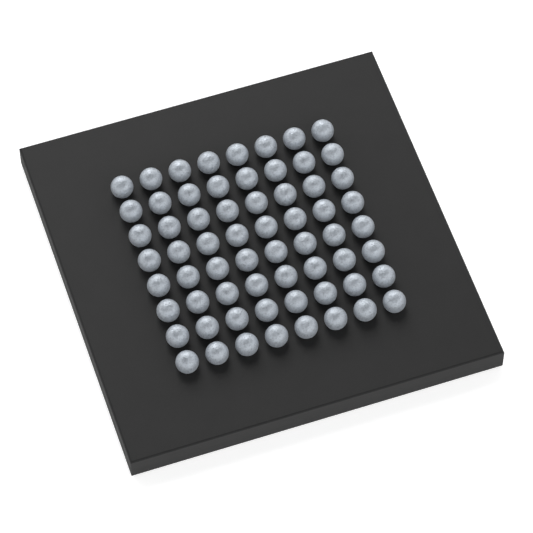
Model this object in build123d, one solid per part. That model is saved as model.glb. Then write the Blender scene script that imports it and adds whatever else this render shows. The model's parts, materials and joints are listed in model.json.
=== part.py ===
from build123d import *
import math
import os

# A microcontroller in a ball grid array package, ball side up, lying on its moulded face.
# Millimetres. The origin is the centre of the moulded face, and +Z points towards the solder balls.

# Body
body_width = 10.0
ball_side_bevel = 0.04        # takes the sharpness off the ball side's border
moulded_side_bevel = 0.05     # the same round the moulded face
cap_height = 0.50             # epoxy from the moulded face to the laminate

# Round mark moulded into the face, below the corner of the first ball
mark_diameter = 0.80
mark_depth = 0.05
mark_inset = 1.20             # from the body's sides to the mark's centre

# Laminate, from the die side to the ball side
trace_thickness = 0.02
core_thickness = 0.17
pad_thickness = 0.05          # the ball-side mask lies level with the pads

# Solder balls
balls_a_side = 8
ball_pitch = 0.80
ball_diameter = 0.60
pad_diameter = 0.42
shoulder_latitude = 35.0      # degrees above the ball's widest level
crown_latitude = 62.0

# Round outlines are drawn with flat sides, because there are so many of them
ball_sides = 12
pad_sides = ball_sides // 2

# Copper on the die side
trace_width = 0.10
via_diameter = 0.09
finger_row = 3.70             # from the centre to the outer ends of the bond fingers
paddle_width = 3.00

# Die, held under the laminate by a film of glue
die_width = 3.60
die_thickness = 0.20
attach_thickness = 0.025

# Bond wires
wire_width = 0.03
wire_drop = 0.12              # from the die's face to the lowest point of the loop
die_pad_pitch = 0.27
die_pad_inset = 0.10          # from the die's edge
stitch_length = 0.10          # the flattened end that is pressed onto the finger
stitch_inset = 0.15           # from the finger's outer end to the stitch's middle

# Levels, upwards
laminate_level = cap_height
core_level = laminate_level + trace_thickness
pad_level = core_level + core_thickness
face_level = pad_level + pad_thickness
die_level = laminate_level - attach_thickness - die_thickness

# Ball rows, counted inwards from the border of the grid
outer_row = (balls_a_side - 1) / 2 * ball_pitch
second_row = outer_row - ball_pitch

# Each side of the package is the back one turned about the middle
side_turns = {"back": 0, "left": 90, "front": 180, "right": 270}


def ring(sides, radius, level):
    """Corners of a level regular polygon round the Z axis."""
    turns = [2 * math.pi * side / sides for side in range(sides)]
    return [Vector(radius * math.cos(turn), radius * math.sin(turn), level) for turn in turns]


def flat(*corners):
    """A flat face between corners."""
    return Face(Wire.make_polygon(corners))


def post(sides, diameter, level, height):
    """An upright post with flat sides round the Z axis."""
    return extrude(flat(*ring(sides, diameter / 2, level)), height, dir=(0, 0, 1))


def block(width, level, thickness):
    """A square block round the Z axis."""
    return Pos(Z=level) * extrude(Rectangle(width, width), thickness)


def plate(level, thickness):
    """A layer of the package, as wide as the body and sawn with it."""
    return block(body_width, level, thickness)


def bevelled(solid, side, size):
    """The solid with its top face's border bevelled at side -1, or its bottom face's at side 0."""
    return chamfer(solid.faces().sort_by(Axis.Z)[side].edges(), size)


def straight_band(lower, upper):
    """Faces between two rings of the same number of corners."""
    count = len(lower)
    faces = []
    for here in range(count):
        after = (here + 1) % count
        faces.append(flat(lower[here], lower[after], upper[after], upper[here]))
    return faces


def doubling_band(few, many):
    """Faces between a ring and another with twice as many corners."""
    faces = []
    for here in range(len(few)):
        after = (here + 1) % len(few)
        start, middle, end = many[2 * here], many[2 * here + 1], many[2 * after]
        faces.append(flat(few[here], start, middle))
        faces.append(flat(few[here], middle, few[after]))
        faces.append(flat(few[after], middle, end))
    return faces


def solder_ball():
    """A ball melted onto its pad: a round form cut off level where it wets the pad."""
    radius = ball_diameter / 2
    centre = face_level + math.sqrt(radius**2 - (pad_diameter / 2) ** 2)

    def ring_at(sides, latitude):
        turn = math.radians(latitude)
        return ring(sides, radius * math.cos(turn), centre + radius * math.sin(turn))

    foot = ring(pad_sides, pad_diameter / 2, face_level)
    waist = ring_at(ball_sides, 0)
    shoulder = ring_at(ball_sides, shoulder_latitude)
    crown = ring_at(pad_sides, crown_latitude)
    tip = Vector(0, 0, centre + radius)
    faces = [flat(*foot)]
    faces += doubling_band(foot, waist)
    faces += straight_band(waist, shoulder)
    faces += doubling_band(crown, shoulder)
    faces += [flat(crown[side], crown[(side + 1) % pad_sides], tip) for side in range(pad_sides)]
    return Solid(Shell(faces))


def ball_place(column, row):
    """The centre of a ball, with columns counted from the left and rows from the back."""
    return Pos(-outer_row + column * ball_pitch, outer_row - row * ball_pitch, 0)


def is_signal(column, row):
    """True in the two outer rings of the grid. The balls inside them are ground."""
    from_border = min(column, row, balls_a_side - 1 - column, balls_a_side - 1 - row)
    return from_border < 2


grid = [(column, row) for row in range(balls_a_side) for column in range(balls_a_side)]
signal_places = [ball_place(*ball) for ball in grid if is_signal(*ball)]
ground_places = [ball_place(*ball) for ball in grid if not is_signal(*ball)]


def side_balls():
    """The signal balls that the back side serves, in the order of its bond fingers."""
    outer = [Vector(-outer_row + n * ball_pitch, outer_row) for n in range(balls_a_side - 1)]
    second = [Vector(-second_row + n * ball_pitch, second_row) for n in range(balls_a_side - 3)]
    return sorted(outer + second, key=lambda ball: ball.X + ball.Y / 2)


def finger_end(order):
    """Outer end of a bond finger. The first is in line with the first ball of the outer row."""
    return Vector(-outer_row + order * ball_pitch / 2, finger_row)


def trace(ball, order):
    """A straight copper trace from its bond finger's outer end to just past its ball's via."""
    run = finger_end(order) - ball
    length = run.length + via_diameter / 2
    middle = finger_end(order) - run.normalized() * (length / 2)
    turn = math.degrees(math.atan2(run.Y, run.X))
    bar = extrude(Rectangle(length, trace_width), trace_thickness)
    return Pos(middle.X, middle.Y, laminate_level) * Rot(Z=turn) * bar


def bond_wire(ball, order, count):
    """A wire of square section that leaves the die straight down and then rises to its finger."""
    start = Vector((order - (count - 1) / 2) * die_pad_pitch, die_width / 2 - die_pad_inset)
    end = finger_end(order) - (finger_end(order) - ball).normalized() * stitch_inset
    reach = (end - start).length
    along = (end - start).normalized()
    across = along.cross(Vector(0, 0, 1))
    half = wire_width / 2
    lowest = die_level - wire_drop
    profile = Polyline(
        (-half, die_level),
        (-half, lowest),
        (reach + stitch_length / 2, laminate_level),
        (reach - stitch_length / 2, laminate_level),
        (half, lowest + wire_width),
        (half, die_level),
        close=True,
    )
    loop_plane = Plane(origin=start, x_dir=along, z_dir=across)
    return extrude(loop_plane * make_face(profile), half, both=True)


def round_mark():
    """The shallow round mark, as the solid that it leaves out of the moulded face."""
    place = body_width / 2 - mark_inset
    return Pos(place, place, 0) * extrude(Circle(mark_diameter / 2), mark_depth)


def turned(solids, side):
    """Copies of the back side's solids for another side."""
    return [Rot(Z=side_turns[side]) * solid for solid in solids]


# Die side
balls_served = side_balls()
back_traces = [trace(ball, order) for order, ball in enumerate(balls_served)]
back_wires = [bond_wire(ball, order, len(balls_served)) for order, ball in enumerate(balls_served)]
traces = {side: turned(back_traces, side) for side in side_turns}
wires = {side: turned(back_wires, side) for side in side_turns}
die_paddle = block(paddle_width, laminate_level, trace_thickness)
die_attach = block(die_width, laminate_level - attach_thickness, attach_thickness)
die = block(die_width, die_level, die_thickness)

# Vias and pads, upright through the laminate
via = post(pad_sides, via_diameter, core_level, core_thickness)
pad = post(pad_sides, pad_diameter, pad_level, pad_thickness)
signal_vias = [place * via for place in signal_places]
thermal_vias = [place * via for place in ground_places]
signal_pads = [place * pad for place in signal_places]
ground_pads = [place * pad for place in ground_places]

# Layers, each cut round what lies in it
all_traces = sum(traces.values(), [])
all_wires = sum(wires.values(), [])
die_side_mask = plate(laminate_level, trace_thickness) - [die_paddle] - all_traces
laminate_core = plate(core_level, core_thickness) - signal_vias - thermal_vias
mask_blank = bevelled(plate(pad_level, pad_thickness), -1, ball_side_bevel)
ball_side_mask = mask_blank - signal_pads - ground_pads
cap_blank = bevelled(plate(0, cap_height), 0, moulded_side_bevel)
mould_cap = cap_blank - [die, die_attach, round_mark()] - all_wires

nodes = {
    "mould_cap": [mould_cap],
    "die": [die],
    "die_attach": [die_attach],
    "die_paddle": [die_paddle],
    "die_side_mask": [die_side_mask],
    "laminate_core": [laminate_core],
    "ball_side_mask": [ball_side_mask],
    "signal_vias": signal_vias,
    "thermal_vias": thermal_vias,
    "signal_ball_pads": signal_pads,
    "ground_ball_pads": ground_pads,
}
for side in side_turns:
    nodes[f"bond_wires_{side}"] = wires[side]
    nodes[f"copper_traces_{side}"] = traces[side]
ball = solder_ball()
for row in range(balls_a_side):
    letter = chr(ord("a") + row)
    nodes[f"solder_balls_row_{letter}"] = [ball_place(column, row) * ball for column in range(balls_a_side)]

os.makedirs("parts", exist_ok=True)
for name, solids in nodes.items():
    whole = solids[0] if len(solids) == 1 else Compound(children=solids)
    export_step(whole, f"parts/{name}.step")
    print(name, len(solids))
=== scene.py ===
# %% [markdown]
# # A microcontroller with its solder balls up
#
# The part is a chip package of the ball grid array kind. It lies on its moulded face, so that the
# side that will be soldered to a board looks up: a flat black face with 64 silvery balls.
# The solids come from the CAD model, in metres. This script gives them their finishes, puts smooth
# balls in the place of the flat-sided ones, and lights and frames the whole.

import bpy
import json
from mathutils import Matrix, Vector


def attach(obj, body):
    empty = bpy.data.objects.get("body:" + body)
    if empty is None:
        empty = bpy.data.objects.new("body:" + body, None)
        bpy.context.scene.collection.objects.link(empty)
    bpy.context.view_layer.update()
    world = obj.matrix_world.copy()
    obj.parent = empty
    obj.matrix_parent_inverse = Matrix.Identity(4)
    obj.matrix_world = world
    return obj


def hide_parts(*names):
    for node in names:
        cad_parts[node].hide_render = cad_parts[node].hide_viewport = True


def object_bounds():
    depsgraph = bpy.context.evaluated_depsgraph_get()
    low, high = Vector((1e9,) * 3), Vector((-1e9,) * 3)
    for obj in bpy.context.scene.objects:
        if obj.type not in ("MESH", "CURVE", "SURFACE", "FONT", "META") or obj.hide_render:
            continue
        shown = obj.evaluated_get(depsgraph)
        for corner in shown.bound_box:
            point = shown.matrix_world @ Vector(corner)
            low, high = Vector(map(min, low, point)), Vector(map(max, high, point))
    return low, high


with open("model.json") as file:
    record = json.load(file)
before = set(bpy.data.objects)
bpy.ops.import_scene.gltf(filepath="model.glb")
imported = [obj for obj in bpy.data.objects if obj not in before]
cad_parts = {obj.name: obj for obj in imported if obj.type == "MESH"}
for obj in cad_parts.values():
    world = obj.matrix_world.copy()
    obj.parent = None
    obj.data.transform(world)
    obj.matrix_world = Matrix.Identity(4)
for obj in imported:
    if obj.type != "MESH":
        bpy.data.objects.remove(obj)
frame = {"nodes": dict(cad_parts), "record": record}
solid_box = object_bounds()
box_mm = [tuple(round(c * 1000, 3) for c in corner) for corner in solid_box]
print("solid model:", len(frame["nodes"]), "nodes, box", box_mm)

# %% Imports and the unit
import json
import math

import bpy

MM = 0.001

# %% [markdown]
# ## The camera
#
# The photograph was taken from above and in front, a little to the left, with a long lens. The
# angles and the distance come from fitting the grid of balls, which is a ready-made ruler: eight
# by eight points at a known pitch. A long lens far away keeps the rows nearly parallel.

# %% Camera
BALL_FACE = 0.74 * MM                     # height of the black face above the moulded one
camera_place = (-12.667 * MM, -38.293 * MM, BALL_FACE + 64.63 * MM)
look_down = math.radians(58.40)
look_round = math.radians(-18.672)
image_width = 533                         # pixels
focal_length = 2918.9                     # pixels
sensor_width = 36                         # millimetres, a full-size film frame

bpy.ops.object.select_all(action="DESELECT")
bpy.ops.object.camera_add(location=camera_place, rotation=(math.pi / 2 - look_down, 0, look_round))
camera = bpy.context.object
camera.name = "camera"
camera.data.sensor_width = sensor_width
camera.data.lens = focal_length / image_width * sensor_width
camera.data.clip_start = 1 * MM
camera.data.clip_end = 20                 # metres, past the far edge of the floor
bpy.context.scene.camera = camera
bpy.context.scene.view_settings.view_transform = "Standard"
print("camera: lens", round(camera.data.lens, 1), "mm")

# %% [markdown]
# ## A small language for finishes
#
# A finish is a network of nodes. Written node by node it is long and hard to read. So `Network`
# adds any node with one method, `Finish` is the network of one material, and `Value` wraps a
# node's output so that plain formulas work: `1 - line` adds a Math node and returns its output.

# %% Values that can be added and multiplied
class Value:
    """What a node gives, with the operators that a formula needs."""

    def __init__(self, network, socket):
        self.network = network
        self.socket = socket

    def maths(self, operation, *values):
        inputs = dict(enumerate(values))
        return self.network.node("ShaderNodeMath", {"operation": operation}, inputs)

    def __add__(self, other):
        return self.maths("ADD", self, other)

    def __sub__(self, other):
        return self.maths("SUBTRACT", self, other)

    def __rsub__(self, other):
        return self.maths("SUBTRACT", other, self)

    def __mul__(self, other):
        return self.maths("MULTIPLY", self, other)

    def __abs__(self):
        return self.maths("ABSOLUTE", self)

    __radd__ = __add__
    __rmul__ = __mul__

    def larger(self, other):
        return self.maths("MAXIMUM", self, other)

    def smooth(self, start, end):
        """0 before start, 1 after end, and smooth between them."""
        spans = {"Value": self, "From Min": start, "From Max": end}
        settings = {"interpolation_type": "SMOOTHSTEP"}
        return self.network.node("ShaderNodeMapRange", settings, spans)


# %% A network of nodes
def set_stops(elements, stops):
    """Gives a colour ramp its stops, each a place from 0 to 1 and a colour."""
    while len(elements) < len(stops):
        elements.new(1.0)
    for element, (place, colour) in zip(elements, stops):
        element.position = place
        element.color = colour


class Network:
    """The nodes of a material or of the world, which all meet in one shader."""

    def __init__(self, tree, shader):
        self.tree = tree
        self.shader = tree.nodes[shader]

    def node(self, kind, settings, values, output=0):
        """Adds a node. Its settings come first, then the values or links of its sockets."""
        made = self.tree.nodes.new(kind)
        for name, setting in settings.items():
            if name == "stops":
                set_stops(made.color_ramp.elements, setting)
            else:
                setattr(made, name, setting)
        for key, value in values.items():
            if isinstance(value, Value):
                self.tree.links.new(value.socket, made.inputs[key])
            else:
                made.inputs[key].default_value = value
        return Value(self, made.outputs[output])

    def mix(self, share, first, second):
        """From the first colour at a share of 0 to the second at 1."""
        colours = {0: share, 6: first, 7: second}    # a Mix node numbers its sockets for all types
        return self.node("ShaderNodeMix", {"data_type": "RGBA"}, colours, 2)

    def seen(self):
        """1 for what the camera sees, also in a mirror or through glass, and 0 for light."""
        camera, mirror, glass = [
            self.node("ShaderNodeLightPath", {}, {}, f"Is {ray} Ray")
            for ray in ("Camera", "Glossy", "Transmission")
        ]
        return camera.larger(mirror).larger(glass)

    def feed(self, socket, value):
        self.tree.links.new(value.socket, self.shader.inputs[socket])


# %% One material with its nodes
class Finish(Network):
    """A material whose patterns are laid out in millimetres from the package's origin."""

    def __init__(self, name, **constants):
        self.material = bpy.data.materials.new(name)
        self.material.use_nodes = True
        super().__init__(self.material.node_tree, "Principled BSDF")
        for socket, value in constants.items():
            self.shader.inputs[socket.replace("_", " ")].default_value = value
        coordinates = self.node("ShaderNodeTexCoord", {}, {}, "Object")
        to_millimetres = {0: coordinates, "Scale": 1 / MM}
        self.place = self.node("ShaderNodeVectorMath", {"operation": "SCALE"}, to_millimetres)

    def axis(self, letter):
        return self.node("ShaderNodeSeparateXYZ", {}, {0: self.place}, letter)

    def noise(self, scale, detail=2.0, stretch=(1, 1, 1)):
        """Soft noise from 0 to 1 with so many lumps a millimetre, longer where stretch is small."""
        place = self.node("ShaderNodeMapping", {}, {"Vector": self.place, "Scale": stretch})
        values = {"Vector": place, "Scale": scale, "Detail": detail}
        return self.node("ShaderNodeTexNoise", {}, values)

    def bump(self, height, depth):
        """Raises the surface by up to depth, in millimetres, where height is 1."""
        values = {"Height": height, "Distance": depth * MM, "Strength": 1.0}
        self.feed("Normal", self.node("ShaderNodeBump", {}, values))


def grey(level, blue=0.0):
    """A grey, a little cooler where blue is above 0."""
    return (level * (1 - blue), level, level * (1 + blue), 1.0)


print("finish language ready")

# %% [markdown]
# ## The black solder mask
#
# The face between the balls is a film of black lacquer that was printed, exposed and baked. It is
# matt with a very fine grain. It reflects less than most lacquers, or it would shine grey where
# it is seen against the key light. Just inside the sawn edge a thin band of painted shade darkens
# the colour. It stands in for the shading on the edge's small bevel. Its place follows from the
# coordinates: 5 mm less the larger of |x| and |y| is the distance to the edge.

# %% Solder mask
HALF_WIDTH = 5.0                          # millimetres, half the body's width
# Painted shade: where the band inside the edge begins to darken, and where it lightens again.
EDGE_SHADE_BEGINS = (0.010, 0.034)              # millimetres from the edge, where it darkens
EDGE_SHADE_ENDS = (0.040, 0.062)                # and where it lightens again


def distance_to_border(finish):
    return HALF_WIDTH - abs(finish.axis("X")).larger(abs(finish.axis("Y")))


def mask_finish():
    finish = Finish("black solder mask", Specular_IOR_Level=0.145)
    grain = finish.noise(45, 3)
    cloud = finish.noise(1.3, 2)
    inwards = distance_to_border(finish)
    # A band of painted shade just inside the edge, which is darker in the colour and a little
    # rougher.
    edge_shade = inwards.smooth(*EDGE_SHADE_BEGINS) * (1 - inwards.smooth(*EDGE_SHADE_ENDS))
    film = finish.mix(grain * 0.7 + cloud * 0.3, grey(0.0145), grey(0.025))
    finish.feed("Base Color", finish.mix(edge_shade * 0.55, film, grey(0.004)))
    finish.feed("Roughness", 0.40 + grain * 0.12 + edge_shade * 0.1)
    finish.bump(grain, 0.0012)
    return finish.material


mask = mask_finish()
print(mask.name, len(mask.node_tree.nodes), "nodes")

# %% [markdown]
# ## The moulded epoxy and the sawn laminate
#
# The body is cast from epoxy full of fine silica, in a sheet of many packages that is sawn apart.
# So the sides carry the saw's faint level lines, and the grain of the silica shows as small specks.
# Lines are noise that is stretched along X and Y and fine along Z: on the sides they run level,
# and on the moulded face, where Z hardly changes, they fade into soft clouds.

# %% Moulded epoxy
def body_finish(name, dark, light, specks):
    finish = Finish(name, Specular_IOR_Level=0.18)
    saw_lines = finish.noise(9, 2, (0.12, 0.12, 3.0))
    grain = finish.noise(30, 3)
    speck = finish.noise(70, 1).smooth(0.66, 0.74)
    side = finish.mix(saw_lines * 0.6 + grain * 0.4, grey(dark), grey(light))
    side = finish.mix(speck * specks, side, grey(0.12))
    finish.feed("Base Color", side)
    finish.feed("Roughness", 0.75 + grain * 0.2)
    finish.bump(saw_lines * 0.5 + grain * 0.5, 0.002)
    return finish.material


mould = body_finish("moulded epoxy", 0.036, 0.050, 0.20)
laminate = body_finish("sawn black laminate", 0.036, 0.050, 0.10)
print(mould.name, "and", laminate.name)

# %% [markdown]
# ## The solder
#
# The balls are a tin alloy, melted and set without being touched, so their skin is satin: not a
# mirror, but with soft light and dark zones, and fine streaks and flecks where the tin crystals
# met. Between the crystals light is scattered in all directions. So the metal share is under a
# half and the rest is a very rough matt grey, which keeps a ball's lower edge from going black.

# %% Solder
DULL_TIN = (0.34, 0.372, 0.41, 1)
BRIGHT_TIN = (0.575, 0.62, 0.672, 1)
FLECK_GREY = (0.24, 0.26, 0.29, 1)


def solder_finish():
    finish = Finish("set tin solder", Metallic=0.45, Diffuse_Roughness=1.0)
    streaks = finish.noise(12, 2, (1.0, 1.0, 2.6))
    crystals = finish.noise(25, 4)
    skin = streaks * 0.25 + crystals * 0.75
    fleck = finish.noise(28, 2).smooth(0.54, 0.64)
    alloy = finish.mix(skin, DULL_TIN, BRIGHT_TIN)
    finish.feed("Base Color", finish.mix(fleck * 0.55, alloy, FLECK_GREY))
    finish.feed("Roughness", 0.33 + skin * 0.16)
    finish.bump(skin, 0.022)
    return finish.material


solder = solder_finish()
print(solder.name, len(solder.node_tree.nodes), "nodes")

# %% [markdown]
# ## Finishes inside the package
#
# Copper, gold wire, the silicon die and its glue are hidden in the closed body, but the model is
# also looked at piece by piece. Each gets the finish that a cut package shows: copper drawn in
# fine lines, bright wire, a die ground in one direction, and glue full of silver flakes.

# %% Metals, die and glue
def inner_metal(name, dark, light, rough, scale, stretch):
    finish = Finish(name, Metallic=1.0)
    lines = finish.noise(scale, 3, stretch)
    finish.feed("Base Color", finish.mix(lines, dark, light))
    finish.feed("Roughness", rough + lines * 0.2)
    finish.bump(lines, 0.001)
    return finish.material


def die_finish():
    finish = Finish("ground silicon", Coat_Weight=0.3)
    grinding = finish.noise(22, 2, (0.05, 1.5, 1.0))
    finish.feed("Base Color", finish.mix(grinding, (0.12, 0.13, 0.16, 1), (0.20, 0.21, 0.25, 1)))
    finish.feed("Roughness", 0.22 + grinding * 0.12)
    finish.bump(grinding, 0.0008)
    return finish.material


def glue_finish():
    finish = Finish("silver filled glue", Specular_IOR_Level=0.5)
    flakes = finish.noise(40, 1).smooth(0.48, 0.60)
    finish.feed("Base Color", finish.mix(flakes, (0.38, 0.37, 0.34, 1), (0.70, 0.69, 0.66, 1)))
    finish.feed("Metallic", flakes * 0.7)
    finish.feed("Roughness", 0.62 - flakes * 0.2)
    finish.bump(flakes, 0.002)
    return finish.material


dark_copper, light_copper = (0.60, 0.30, 0.19, 1), (0.82, 0.47, 0.31, 1)
dark_gold, light_gold = (0.76, 0.56, 0.20, 1), (0.90, 0.74, 0.36, 1)
copper = inner_metal("plated copper", dark_copper, light_copper, 0.28, 25, (0.4, 0.4, 1))
gold = inner_metal("gold wire", dark_gold, light_gold, 0.20, 60, (0.3, 0.3, 1))
silicon = die_finish()
glue = glue_finish()
print("inner finishes:", copper.name, gold.name, silicon.name, glue.name)

# %% [markdown]
# ## Dress the solids
#
# A solid whose shape is right keeps its mesh and only gets a better material in its slot. The
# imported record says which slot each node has, so the finishes are chosen by slot.

# %% Give the nodes their finishes
finish_of_slot = {
    "mould": mould, "solder_mask": mask, "laminate": laminate, "solder": solder,
    "copper": copper, "gold": gold, "silicon": silicon, "adhesive": glue,
}
slot_of_node = {part["node"]: part["material_slot"] for part in frame["record"]["subparts"]}
for name, node in frame["nodes"].items():
    chosen = finish_of_slot[slot_of_node[name]]
    if not node.material_slots:
        node.data.materials.append(chosen)
    for material_slot in node.material_slots:
        material_slot.material = chosen
print("dressed", len(frame["nodes"]), "nodes")

# %% [markdown]
# ## One solder ball
#
# The solid model's balls have twelve flat sides, because there are sixty-four of them. Here each
# is smooth. A ball starts as a sphere, is cut level just above the face, and gets the short neck
# by which the solder sits in the opening of the mask: the cut ring is drawn in and then down.

# %% Sizes of the grid
BALLS_A_SIDE = 8
PITCH = 0.80 * MM
BALL_RADIUS = 0.30 * MM
PAD_RADIUS = 0.21 * MM
NECK = 0.022 * MM                         # from the face up to where the ball begins
NECK_SLOPE = 0.3 * NECK                   # its upper part, where it is drawn in
OUTER_ROW = (BALLS_A_SIDE - 1) / 2 * PITCH
ball_centre = BALL_FACE + math.sqrt(BALL_RADIUS**2 - PAD_RADIUS**2)
print("ball centre at", round(ball_centre / MM, 4), "mm")


# %% Helpers for modelling
def edit(piece):
    """Makes one piece active, opens it for editing and selects nothing in it."""
    bpy.ops.object.select_all(action="DESELECT")
    piece.select_set(True)
    bpy.context.view_layer.objects.active = piece
    bpy.ops.object.mode_set(mode="EDIT")
    bpy.ops.mesh.select_all(action="DESELECT")


def select_faces(piece, chosen):
    """Selects the faces whose centre and normal pass the test, in edit mode."""
    bpy.ops.mesh.select_all(action="DESELECT")
    bpy.ops.object.mode_set(mode="OBJECT")
    for face in piece.data.polygons:
        face.select = chosen(face.center, face.normal)
    bpy.ops.object.mode_set(mode="EDIT")
    bpy.ops.mesh.select_mode(type="FACE")


# %% Model the ball
def make_ball(place):
    bpy.ops.object.select_all(action="DESELECT")
    bpy.ops.mesh.primitive_uv_sphere_add(
        segments=48, ring_count=24, radius=BALL_RADIUS, location=place
    )
    ball = bpy.context.object
    bpy.ops.object.transform_apply(location=True, rotation=True, scale=True)
    edit(ball)
    bpy.ops.mesh.select_all(action="SELECT")
    cut = (place[0], place[1], BALL_FACE + NECK)
    bpy.ops.mesh.bisect(
        plane_co=cut, plane_no=(0, 0, 1), use_fill=True, clear_inner=True, threshold=1e-9
    )
    select_faces(ball, lambda centre, normal: normal.z < -0.99)
    ring = math.sqrt(BALL_RADIUS**2 - (ball_centre - cut[2]) ** 2)
    shrink = PAD_RADIUS / ring
    bpy.ops.mesh.extrude_region_move(TRANSFORM_OT_translate={"value": (0, 0, -NECK_SLOPE)})
    bpy.ops.transform.resize(value=(shrink, shrink, 1), center_override=cut)
    bpy.ops.mesh.extrude_region_move(TRANSFORM_OT_translate={"value": (0, 0, NECK_SLOPE - NECK)})
    bpy.ops.object.mode_set(mode="OBJECT")
    bpy.ops.object.shade_smooth_by_angle(angle=math.radians(35))
    return ball


first_ball = make_ball((-OUTER_ROW, OUTER_ROW, ball_centre))
print("one ball:", len(first_ball.data.polygons), "faces")

# %% [markdown]
# ## Eight rows of balls
#
# The first ball is copied along its row and the eight are joined, and then the row is copied
# towards the front. Every copy has its own mesh, and its place is in the mesh, because a finished
# piece's object stays at the origin. Each row stands for one node of the solid model.

# %% Copy the ball into rows
def copied(piece, shift):
    """A copy with its own mesh, moved by shift within it."""
    bpy.ops.object.select_all(action="DESELECT")
    piece.select_set(True)
    bpy.context.view_layer.objects.active = piece
    bpy.ops.object.duplicate_move(TRANSFORM_OT_translate={"value": shift})
    twin = bpy.context.object
    bpy.ops.object.transform_apply(location=True, rotation=True, scale=True)
    return twin


def joined(pieces, name):
    bpy.ops.object.select_all(action="DESELECT")
    for piece in pieces:
        piece.select_set(True)
    bpy.context.view_layer.objects.active = pieces[0]
    bpy.ops.object.join()
    pieces[0].name = name
    return pieces[0]


row_balls = [first_ball]
row_balls += [copied(first_ball, (n * PITCH, 0, 0)) for n in range(1, BALLS_A_SIDE)]
rows = [joined(row_balls, "solder_row_a")]
for n in range(1, BALLS_A_SIDE):
    row = copied(rows[0], (0, -n * PITCH, 0))
    row.name = "solder_row_" + "abcdefgh"[n]
    rows.append(row)
for row in rows:
    row.data.materials.clear()
    row.data.materials.append(solder)
    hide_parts("solder_balls_row_" + row.name[-1])
    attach(row, "root")
print("rows:", [row.name for row in rows], len(rows[0].data.polygons), "faces each")

# %% [markdown]
# ## The floor
#
# The photograph's ground is a plain white. The floor is a light grey that is lit like all the rest,
# and a glow that only camera, mirror and glass rays meet lifts it to white. That glow lights
# nothing, and a faint shadow round the package stays.

# %% Floor
FLOOR_LEVEL = -0.002 * MM                 # just clear of the moulded face
FLOOR_RADIUS = 3.0                        # metres


def make_floor():
    bpy.ops.object.select_all(action="DESELECT")
    bpy.ops.mesh.primitive_circle_add(
        vertices=96, radius=FLOOR_RADIUS, fill_type="NGON", location=(0, 0, FLOOR_LEVEL)
    )
    floor = bpy.context.object
    floor.name = "floor"
    return floor


def floor_finish(glow):
    finish = Finish("white floor", Roughness=0.9, Specular_IOR_Level=0.1, Emission_Strength=1.0)
    finish.feed("Base Color", finish.mix(finish.noise(0.02, 2), grey(0.78), grey(0.82)))
    finish.feed("Emission Color", finish.seen() * glow)
    return finish.material


floor = make_floor()
floor.data.materials.append(floor_finish(0.53))
print("floor made")

# %% [markdown]
# ## The studio
#
# The balls show the room like small blurred mirrors, and the light was worked out from them. A
# ring of light goes all round, from 12 to 30 degrees above the floor, and gives the balls their
# even edges. The key panel stands higher behind them and makes the bright upper part. The front
# panels, a little to the right, brighten the lower right, and the low panels fill the left and the
# back. The ceiling is dark, and makes the darker patch above the middle of each ball.
#
# The panels and the ring together light a level face about as strongly as a white sky would, so a
# colour renders about as it is written. Below the ring, where no light comes from, the camera is
# shown the floor's white instead, so that a low view has a white background too.

# %% World
WHITE_ENDS = (0.12, 0.17)                 # sines of about 7 and 10 degrees


def make_world(room):
    """A room of soft grey walls. It is a list of heights in degrees with the brightness at each.

    Up to the height where its light begins, the camera sees the white of the floor go on.
    """
    world = bpy.data.worlds.new("studio")
    bpy.context.scene.world = world
    world.use_nodes = True
    sky = Network(world.node_tree, "Background")
    direction = sky.node("ShaderNodeTexCoord", {}, {}, "Generated")
    height = sky.node("ShaderNodeSeparateXYZ", {}, {0: direction}, "Z")
    stops = [(math.sin(math.radians(rise)), grey(brightness)) for rise, brightness in room]
    walls = sky.node("ShaderNodeValToRGB", {"stops": stops}, {"Fac": height})
    low = 1 - height.smooth(*WHITE_ENDS)
    sky.feed("Color", sky.mix(sky.seen() * low, walls, grey(1.0)))


make_world([(0, 0.05), (9, 0.15), (15, 1.75), (27, 1.75), (33, 0.15), (50, 0.04), (80, 0.04)])
print("world made")


# %% Lamps
PANEL_DISTANCE = 0.40                     # metres


def make_panel(name, compass, reach, low, high, radiance):
    """A soft panel that looks at the package from a compass angle, 0 at +Y and 90 at -X.

    It reaches so many degrees to each side, and from the low to the high angle above the floor.
    """
    turn, rise = math.radians(compass), math.radians((low + high) / 2)
    place = [-math.sin(turn) * math.cos(rise), math.cos(turn) * math.cos(rise), math.sin(rise)]
    bpy.ops.object.light_add(type="AREA", location=[c * PANEL_DISTANCE for c in place])
    panel = bpy.context.object
    panel.name = name
    panel.rotation_euler = (math.pi / 2 - rise, 0, turn + math.pi)
    panel.data.shape = "RECTANGLE"
    panel.data.size = 2 * PANEL_DISTANCE * math.cos(rise) * math.tan(math.radians(reach))
    panel.data.size_y = 2 * PANEL_DISTANCE * math.tan(math.radians((high - low) / 2))
    panel.data.energy = radiance * math.pi * panel.data.size * panel.data.size_y
    panel.visible_camera = False


make_panel("key panel", 0, 24, 26, 63, 4.6)
make_panel("left panel", 125, 25, 8, 32, 0.5)
for compass in (177, 227):
    make_panel("front panel", compass, 25, 30, 50, 2.4)
for compass in (-47, 0, 47):
    make_panel("back panel", compass, 23.5, 1, 30, 0.65)
